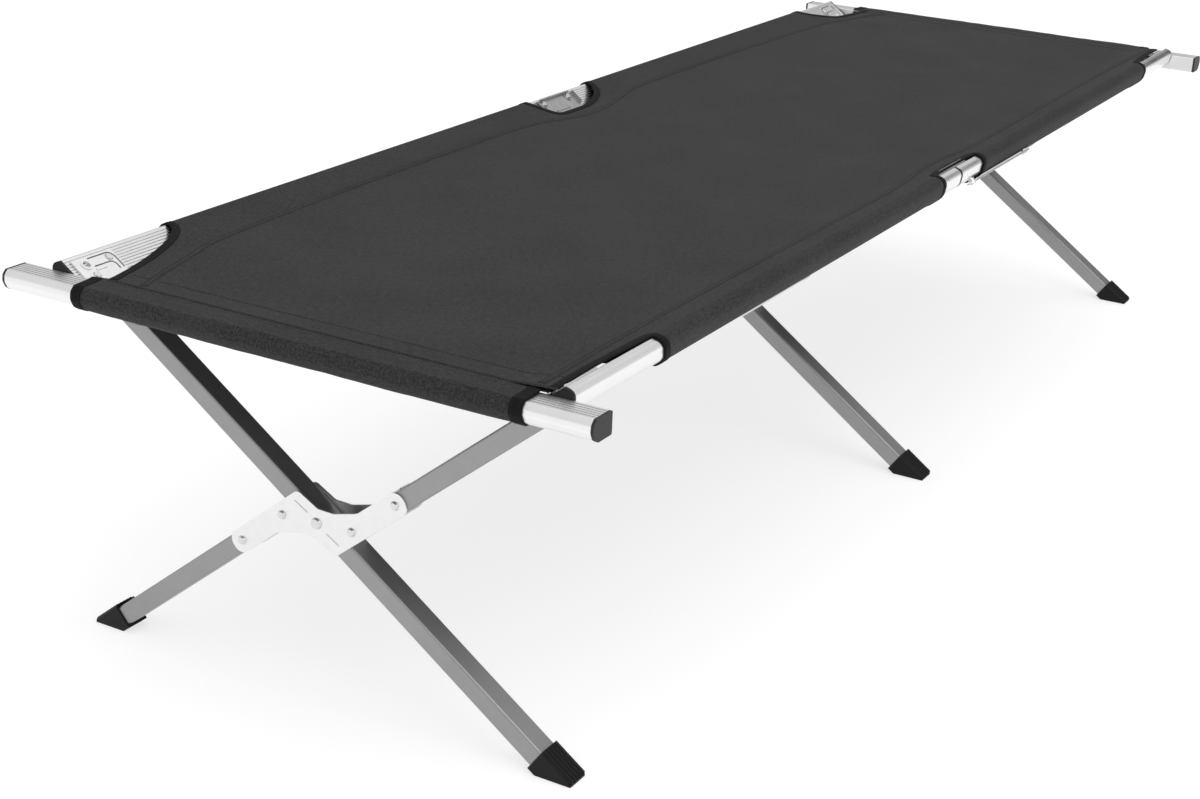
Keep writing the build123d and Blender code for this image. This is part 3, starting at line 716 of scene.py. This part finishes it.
# ---- beads on the brackets, ribs on the feet ---------------------------------------------
PLATE_TOP, FRAME_Y = 2.05, 880.0
FOOT_X = PIVOT_Z / math.tan(TILT_LEFT) + 16.439  # outer face of a foot
FOOT_TOP, FOOT_HALF = REACH - 29.0, 13.5
BEAD_R, RIB_R = 0.8, 1.4
RIBS = (-10.2, -5.1, 0.0, 5.1, 10.2)
# beads on a bracket: (down the rail's face, along the cot from the frame)
BEADS = [
    [(9.0, 13.0), (9.0, -13.0), (11.0, -17.5), (16.0, -19.7), (31.0, -20.0)],
    [(20.0, 12.0), (20.0, -9.0), (21.5, -12.5), (25.0, -14.3), (31.0, -14.5)],
]


def raised_lines(name, routes, radius):
    """Round beads, each drawn as a curve through its points and turned into a mesh."""
    made = []
    for route in routes:
        bpy.ops.object.select_all(action="DESELECT")
        bpy.ops.curve.primitive_bezier_curve_add()
        line = bpy.context.active_object
        knots = line.data.splines[0].bezier_points
        knots.add(len(route) - 2)
        for knot, place in zip(knots, route):
            knot.co = place
            knot.handle_left_type = knot.handle_right_type = "VECTOR"
        line.data.bevel_depth, line.data.bevel_resolution = radius * MM, 2
        line.data.resolution_u, line.data.use_fill_caps = 1, True
        bpy.ops.object.convert(target="MESH")
        made.append(bpy.context.active_object)
    for line in made:
        line.select_set(True)
    bpy.ops.object.join()
    whole = bpy.context.active_object
    whole.name = name
    bpy.ops.object.select_all(action="DESELECT")
    sharpened(whole)
    return whole


def bracket_beads(side, half, name):
    (ox, oz), down, out = rail_frame(side)
    rise = PLATE_TOP - 0.15
    ox, oz = ox + rise * out[0], oz + rise * out[1]
    routes = []
    for bead in BEADS:
        routes.append([mm(ox + s * down[0], half * (FRAME_Y + y), oz + s * down[1]) for s, y in bead])
    return raised_lines(name, routes, BEAD_R)


def foot_ribs(side, y, name):
    """Ribs down the top of a foot and over its toe. side is 1 for a one-piece leg's foot."""
    tilt = TILT_LEFT if side > 0 else TILT_RIGHT
    way = Vector((side * math.cos(tilt), 0, -math.sin(tilt)))
    up = Vector((side * math.sin(tilt), 0, math.cos(tilt)))
    base = Vector((0, y, PIVOT_Z)) + (Vector() if side > 0 else up * OFFSET)
    start = base + way * (FOOT_TOP + 1.5) + up * (FOOT_HALF - 0.3)
    toe = side * (FOOT_X - 0.3)
    bend = start + way * ((toe - start.x) / way.x)
    end = Vector((toe, y, 2.0))
    routes = [[(p + Vector((0, a, 0))) * MM for p in (start, bend, end)] for a in RIBS]
    return raised_lines(name, routes, RIB_R)


# ---- finishes ----------------------------------------------------------------------------
class Wire:
    """A socket with arithmetic: an expression on it adds Math nodes."""

    def __init__(self, finish, socket):
        self.finish, self.socket = finish, socket

    def _math(self, kind, *values):
        return self.finish.make("ShaderNodeMath", {"operation": kind}, values)

    def __add__(self, other):
        return self._math("ADD", self, other)

    __radd__ = __add__

    def __sub__(self, other):
        return self._math("SUBTRACT", self, other)

    def __rsub__(self, other):
        return self._math("SUBTRACT", other, self)

    def __mul__(self, other):
        return self._math("MULTIPLY", self, other)

    __rmul__ = __mul__

    def __truediv__(self, other):
        return self._math("DIVIDE", self, other)

    def sin(self):
        return self._math("SINE", self)

    def abs(self):
        return self._math("ABSOLUTE", self)

    def fract(self):
        return self._math("FRACT", self)

    def over(self, other):
        return self._math("GREATER_THAN", self, other)

    def band(self, low, high):
        """0 below low and 1 above high, smoothly between."""
        return self.finish.make(
            "ShaderNodeMapRange",
            {"interpolation_type": "SMOOTHSTEP", "clamp": True},
            {"Value": self, "From Min": low, "From Max": high},
        )


class Finish:
    """One material, built node by node."""

    def __init__(self, name, **constants):
        self.material = bpy.data.materials.new(name)
        self.material.use_nodes = True
        self.tree = self.material.node_tree
        self.shader = self.tree.nodes["Principled BSDF"]
        for label, value in constants.items():
            self.shader.inputs[label.replace("_", " ")].default_value = value
        self.where = self.tree.nodes.new("ShaderNodeTexCoord")

    def make(self, kind, settings=None, inputs=(), out=0):
        """A node with its settings first, then its inputs, by order or by name."""
        node = self.tree.nodes.new(kind)
        for label, value in (settings or {}).items():
            setattr(node, label, value)
        pairs = inputs.items() if isinstance(inputs, dict) else enumerate(inputs)
        for label, value in pairs:
            if isinstance(value, Wire):
                self.tree.links.new(value.socket, node.inputs[label])
            else:
                node.inputs[label].default_value = value
        return Wire(self, node.outputs[out])

    def coords(self):
        return Wire(self, self.where.outputs["Object"])

    def cloth_map(self):
        return self.make("ShaderNodeUVMap", {"uv_map": "cloth"})

    def split(self, vector):
        node = self.make("ShaderNodeSeparateXYZ", None, (vector,)).socket.node
        return [Wire(self, node.outputs[k]) for k in range(3)]

    def vector(self, kind, *values, out=0):
        return self.make("ShaderNodeVectorMath", {"operation": kind}, values, out)

    def scaled(self, vector, by):
        return self.vector("MULTIPLY", vector, by)

    def noise(self, vector, scale, detail=2.0, roughness=0.5):
        inputs = {"Vector": vector, "Scale": scale, "Detail": detail, "Roughness": roughness}
        return self.make("ShaderNodeTexNoise", None, inputs)

    def mix(self, factor, dark, light):
        """A colour between two others; its sockets go by number, as several share a name."""
        ends = [end if isinstance(end, Wire) else (*end, 1.0) for end in (dark, light)]
        return self.make("ShaderNodeMix", {"data_type": "RGBA"}, {0: factor, 6: ends[0], 7: ends[1]}, 2)

    def bump(self, height, distance, strength):
        inputs = {"Height": height, "Distance": distance, "Strength": strength}
        return self.make("ShaderNodeBump", None, inputs)

    def set(self, **links):
        """Join the shader's varying inputs and hand back the material."""
        for label, wire in links.items():
            self.tree.links.new(wire.socket, self.shader.inputs[label.replace("_", " ")])
        return self.material


# sizes in metres, as the shaders see them
THREAD, RIB = 0.0009, 0.0007
PAST = 0.0007  # a row of grooves ends this far beyond its first and last
STREAK = 0.012  # how much longer than wide a die line is, as a share


def woven_canvas():
    """Dark grey Oxford canvas with a fine basket weave."""
    f = Finish("woven_canvas", Specular_IOR_Level=0.29, Sheen_Weight=0.015, Sheen_Roughness=0.5)
    f.shader.inputs["Sheen Tint"].default_value = (0.75, 0.78, 0.8, 1.0)
    cloth = f.cloth_map()
    u, v, _ = f.split(cloth)
    step = math.pi / THREAD
    warp, weft = (u * step).sin(), (v * step).sin()
    over = (warp * weft).over(0.0)
    thread = over * warp.abs() + (1 - over) * weft.abs()
    grain = f.noise(cloth, 420.0, 3.0, 0.7)
    slub = f.noise(f.scaled(cloth, (1.0, 0.2, 1.0)), 600.0, 1.0)
    pick = f.noise(f.scaled(cloth, (0.2, 1.0, 1.0)), 600.0, 1.0)
    cloud = f.noise(cloth, 9.0, 3.0)
    tone = grain * 0.55 + slub * 0.2 + pick * 0.2 + thread * 0.12 + cloud * 0.12
    colour = f.mix(tone.band(0.5, 0.73), (0.006, 0.0061, 0.0063), (0.039, 0.0392, 0.04))
    normal = f.bump(thread * 0.7 + grain * 0.8, 0.0003, 0.9)
    return f.set(Base_Color=colour, Roughness=0.62 + grain * 0.22, Normal=normal)


def binding_tape():
    """Near-black ribbed edge tape."""
    f = Finish("black_binding_tape", Specular_IOR_Level=0.16)
    cloth = f.cloth_map()
    u, v, _ = f.split(cloth)
    rib = ((u + v) * (math.pi / RIB)).sin().abs()
    other = ((u - v) * (math.pi / RIB)).sin().abs()
    grain = f.noise(cloth, 700.0, 2.0)
    tone = rib * 0.3 + other * 0.3 + grain * 0.5
    colour = f.mix(tone.band(0.3, 0.95), (0.0015, 0.0015, 0.0016), (0.007, 0.007, 0.0075))
    return f.set(Base_Color=colour, Roughness=0.66 + grain * 0.2, Normal=f.bump(tone, 0.00018, 0.7))


def sewing_thread():
    """Black polyester thread."""
    f = Finish("black_thread", Specular_IOR_Level=0.35)
    grain = f.noise(f.coords(), 1500.0, 1.0)
    colour = f.mix(grain, (0.002, 0.002, 0.002), (0.008, 0.008, 0.008))
    return f.set(Base_Color=colour, Roughness=0.5 + grain * 0.2)


def anodised(name, along, light, dark, rough, face, row, groove_shade):
    """Bright drawn aluminium with faint die lines along its length, and painted shade darkening the grooves
    in its flat face.
    face is the flat face's (point, across, outward), row the (first, pitch, count) of its grooves."""
    f = Finish(name, Metallic=1.0)
    squash = (STREAK, 1.0, 1.0) if along == "x" else (1.0, STREAK, 1.0)
    lines = f.noise(f.scaled(f.coords(), squash), 2600.0, 2.0, 0.6)
    haze = f.noise(f.coords(), 28.0, 3.0)
    rub = f.noise(f.coords(), 190.0, 4.0, 0.65).band(0.62, 0.8)
    point, across, outward = face
    first, pitch, count = row
    place = f.coords()
    if along == "x":
        place = f.vector("ABSOLUTE", place)
    place = f.vector("SUBTRACT", place, point)
    s = f.vector("DOT_PRODUCT", place, across, out=1)
    n = f.vector("DOT_PRODUCT", place, outward, out=1)
    off = (((s - first) / pitch + 0.5).fract() - 0.5).abs() * pitch
    begun = (s + PAST - first).band(0.0, 0.0002)
    over = (s - PAST - first - pitch * (count - 1)).band(0.0, 0.0002)
    groove = (1 - off.band(0.00035, 0.00075)) * (begun * (1 - over)) * n.band(-0.0012, -0.0009)
    colour = f.mix(lines * 0.5 + haze * 0.5, dark, light)
    # painted shade: the colour inside the grooves is darkened to stand in for the shade that falls in them
    colour = f.mix(groove * groove_shade, colour, tuple(c * 0.3 for c in dark))
    roughness = rough + lines * 0.1 + haze * 0.08 + rub * 0.05 + groove * 0.2
    return f.set(Base_Color=colour, Roughness=roughness, Normal=f.bump(lines, 0.00006, 0.35))


def leg_grey():
    """Satin grey anodised tube."""
    f = Finish("satin_grey_tube", Metallic=0.9)
    lines = f.noise(f.scaled(f.coords(), (0.08, 1.0, 0.08)), 1900.0, 2.0, 0.6)
    haze = f.noise(f.coords(), 22.0, 3.0)
    colour = f.mix(lines * 0.4 + haze * 0.6, (0.27, 0.27, 0.272), (0.36, 0.36, 0.362))
    rough = 0.3 + lines * 0.08 + haze * 0.1
    return f.set(Base_Color=colour, Roughness=rough, Normal=f.bump(lines, 0.00005, 0.3))


def zinc_plate(name, dark, light):
    """Zinc-plated pressed steel."""
    f = Finish(name, Metallic=1.0)
    spangle = f.noise(f.coords(), 120.0, 4.0, 0.6)
    fine = f.noise(f.coords(), 900.0, 2.0)
    colour = f.mix(spangle, dark, light)
    rough = 0.24 + spangle * 0.16 + fine * 0.05
    return f.set(Base_Color=colour, Roughness=rough, Normal=f.bump(spangle + fine * 0.4, 0.00012, 0.4))


def steel():
    """Rivet steel."""
    f = Finish("rivet_steel_dull", Metallic=1.0)
    fine = f.noise(f.coords(), 1300.0, 3.0)
    colour = f.mix(fine, (0.58, 0.58, 0.59), (0.8, 0.8, 0.81))
    return f.set(Base_Color=colour, Roughness=0.26 + fine * 0.16, Normal=f.bump(fine, 0.00006, 0.4))


def moulded(name, dark, light, rough, shine):
    """Moulded plastic with a fine eroded skin."""
    f = Finish(name, Specular_IOR_Level=shine)
    skin = f.noise(f.coords(), 900.0, 3.0, 0.6)
    scuff = f.noise(f.coords(), 70.0, 4.0, 0.6)
    colour = f.mix(skin * 0.4 + scuff * 0.6, dark, light)
    rough = rough + scuff * 0.14 + skin * 0.08
    return f.set(Base_Color=colour, Roughness=rough, Normal=f.bump(skin, 0.00014, 0.5))


canvas = woven_canvas()
# painted shade: the beads get a dark zinc that stands in for the shade in the creases along them
bead_painted_shade = zinc_plate("zinc_bead_painted_shade", (0.1, 0.1, 0.102), (0.2, 0.2, 0.202))
# painted shade: the centre links get a darker copy of the zinc plate, standing in for the shade between
# their walls
link_shaded_zinc = zinc_plate("zinc_link_painted_shade", (0.3, 0.302, 0.306), (0.6, 0.602, 0.61))
tape = binding_tape()
thread = sewing_thread()
# grooves in metres: the first, their pitch, how many
BAR_GROOVES, RAIL_GROOVES = (0.0045, 0.0045, 5), (0.0045, 0.0035, 9)
bar_face = ((0.0, (HALF_LENGTH - BAR_DEPTH) * MM, BAR_TOP * MM), (0.0, 1.0, 0.0), (0.0, 0.0, 1.0))
METAL = {
    "bar": anodised(
        "bar_aluminium", "x", (0.9, 0.9, 0.905), (0.8, 0.802, 0.808), 0.3, bar_face, BAR_GROOVES, groove_shade=0.8
    )
}
for side, label in ((-1, "left"), (1, "right")):
    (ox, oz), down, out = rail_frame(side)
    rail_face = ((ox * MM, 0.0, oz * MM), (down[0], 0.0, down[1]), (out[0], 0.0, out[1]))
    name = f"rail_aluminium_{label}"
    light, dark = (0.88, 0.88, 0.885), (0.77, 0.772, 0.78)
    METAL[label] = anodised(name, "y", light, dark, 0.16, rail_face, RAIL_GROOVES, groove_shade=0.4)
BY_SLOT = {
    "leg_grey": leg_grey(),
    "zinc_plate": zinc_plate("zinc_plate_bright", (0.74, 0.742, 0.748), (0.86, 0.86, 0.865)),
    "rivet_steel": steel(),
    "plug_plastic": moulded("plug_black", (0.006, 0.006, 0.007), (0.018, 0.018, 0.019), 0.34, 0.3),
    "foot_plastic": moulded("foot_black", (0.002, 0.002, 0.0022), (0.008, 0.008, 0.0085), 0.3, 0.2),
    "cap_plastic": moulded("cap_charcoal", (0.014, 0.014, 0.015), (0.03, 0.03, 0.031), 0.42, 0.3),
}

# ---- dress the pieces -----------------------------------------------------------------------
for name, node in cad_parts.items():
    for spot in node.material_slots:
        slot_name = spot.material.name.split(".")[0] if spot.material else ""
        if slot_name == "anodised_aluminium":
            kind = "bar" if name.startswith("end_bar") else "right" if "right" in name else "left"
            spot.material = METAL[kind]
        # the centre links take the darker zinc that paints their shade
        elif slot_name == "zinc_plate" and name.startswith("centre_link"):
            spot.material = link_shaded_zinc
        elif slot_name in BY_SLOT:
            spot.material = BY_SLOT[slot_name]
        elif slot_name == "canvas":
            spot.material = canvas
        elif slot_name == "binding_tape":
            spot.material = tape

for piece, finish, slot in (
    (cover, canvas, "canvas"),
    (seam_ridges, canvas, "canvas"),
    (binding, tape, "binding_tape"),
    (stitching, thread, "binding_tape"),
):
    piece.data.materials.append(finish)
    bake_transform(piece)
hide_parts("canvas_bed", "canvas_sleeves_left", "canvas_sleeves_right")
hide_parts("sleeve_tapes_left", "sleeve_tapes_right")
for half, label in ((-1, "near"), (1, "far")):
    sleeve, ring, sewn = make_bar_sleeve(half, label)
    dressed = ((sleeve, canvas, "canvas"), (ring, tape, "binding_tape"), (sewn, thread, "binding_tape"))
    for piece, finish, slot in dressed:
        piece.data.materials.append(finish)
        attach(piece, f"{label}_bar")
    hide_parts(f"canvas_sleeve_{label}")
    run = BAR_RUN.at[-1] - FLAP + TURN_IN
    wide = SLEEVE_ENDS[half][1] - SLEEVE_ENDS[half][0]
    area = (wide * run + (FLAP_ENDS[half][1] - FLAP_ENDS[half][0]) * (FLAP - TURN_IN)) * MM * MM

for side, label in ((-1, "left"), (1, "right")):
    for half, end in ((-1, "near"), (1, "far")):
        beads = bracket_beads(side, half, f"bracket_beads_{label}_{end}")
        beads.data.materials.append(bead_painted_shade)
        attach(beads, f"{label}_side")
for side, label, body in ((-1, "left", "right_side"), (1, "right", "left_side")):
    for y, frame_name in ((-FRAME_Y, "near"), (0.0, "mid"), (FRAME_Y, "far")):
        ribs = foot_ribs(side, y, f"foot_ribs_{frame_name}_{label}")
        ribs.data.materials.append(BY_SLOT["foot_plastic"])
        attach(ribs, body)

# ---- floor, light and camera ------------------------------------------------------------------
FLOOR = 30.0  # half width, in metres
floor_mesh = bpy.data.meshes.new("studio_floor")
corners = [(-FLOOR, -FLOOR, 0), (FLOOR, -FLOOR, 0), (FLOOR, FLOOR, 0), (-FLOOR, FLOOR, 0)]
floor_mesh.from_pydata(corners, [], [(0, 1, 2, 3)])
floor = bpy.data.objects.new("studio_floor", floor_mesh)
bpy.context.scene.collection.objects.link(floor)
glow = (1.0, 1.0, 1.0, 1.0)
white = Finish("white_floor", Specular_IOR_Level=0.0, Emission_Color=glow, Emission_Strength=0.66)
patch = white.noise(white.coords(), 3.0, 2.0)
white.set(Base_Color=white.mix(patch, (0.46, 0.46, 0.46), (0.48, 0.48, 0.48)), Roughness=0.9 + patch * 0.05)
floor_mesh.materials.append(white.material)

# darker patches of sky: the way to each, the cosines of its rim and core, its least share of light
DARK_PATCHES = (((-0.62, 0.72, 0.31), 0.8, 0.94, 0.82), ((0.1, 0.97, 0.16), 0.955, 0.975, 0.04))
world = bpy.data.worlds.new("studio")
bpy.context.scene.world = world
world.use_nodes = True
sky = world.node_tree
back = sky.nodes["Background"]
coord = sky.nodes.new("ShaderNodeTexCoord")
shade = None
for toward, rim, core, least in DARK_PATCHES:
    facing = sky.nodes.new("ShaderNodeVectorMath")
    facing.operation = "DOT_PRODUCT"
    facing.inputs[1].default_value = Vector(toward).normalized()
    sky.links.new(coord.outputs["Generated"], facing.inputs[0])
    ramp = sky.nodes.new("ShaderNodeMapRange")
    ramp.clamp = True
    sky.links.new(facing.outputs["Value"], ramp.inputs["Value"])
    for label, value in (("From Min", rim), ("From Max", core), ("To Min", 1.0), ("To Max", least)):
        ramp.inputs[label].default_value = value
    level = ramp.outputs[0]
    if shade is not None:
        both = sky.nodes.new("ShaderNodeMath")
        both.operation = "MULTIPLY"
        sky.links.new(shade, both.inputs[0])
        sky.links.new(level, both.inputs[1])
        level = both.outputs[0]
    shade = level
sky.links.new(shade, back.inputs["Color"])
back.inputs["Strength"].default_value = 0.78


def softbox(name, at, size, watts):
    """A square light that faces the middle of the cot."""
    light = bpy.data.lights.new(name, "AREA")
    light.shape, light.size, light.energy = "SQUARE", size, watts
    lamp = bpy.data.objects.new(name, light)
    turn = (Vector((0.0, 0.0, 0.2)) - Vector(at)).to_track_quat("-Z", "Y")
    lamp.matrix_world = Matrix.Translation(at) @ turn.to_matrix().to_4x4()
    bpy.context.scene.collection.objects.link(lamp)


softbox("key", (2.8, -1.5, 2.7), 2.8, 34)
softbox("top", (0.5, 0.2, 3.6), 3.0, 24)

view = bpy.data.cameras.new("view")
view.sensor_width = 36.0
view.lens = 62.08
camera = bpy.data.objects.new("view", view)
azimuth, rise, roll = (math.radians(a) for a in (29.0933, 21.2965, 2.6363))
back_way = Vector((math.sin(azimuth) * math.cos(rise), -math.cos(azimuth) * math.cos(rise), math.sin(rise)))
across = Vector((0, 0, 1)).cross(back_way).normalized()
upward = back_way.cross(across)
right = across * math.cos(roll) + upward * math.sin(roll)
top = upward * math.cos(roll) - across * math.sin(roll)
stand = Vector((-0.19107, 0.0, -0.00501)) + back_way * 2.88314
turned = Matrix((right, top, back_way)).transposed().to_4x4()
camera.matrix_world = Matrix.Translation(stand) @ turned
bpy.context.scene.collection.objects.link(camera)
bpy.context.scene.camera = camera
bpy.context.scene.view_settings.view_transform = "Standard"
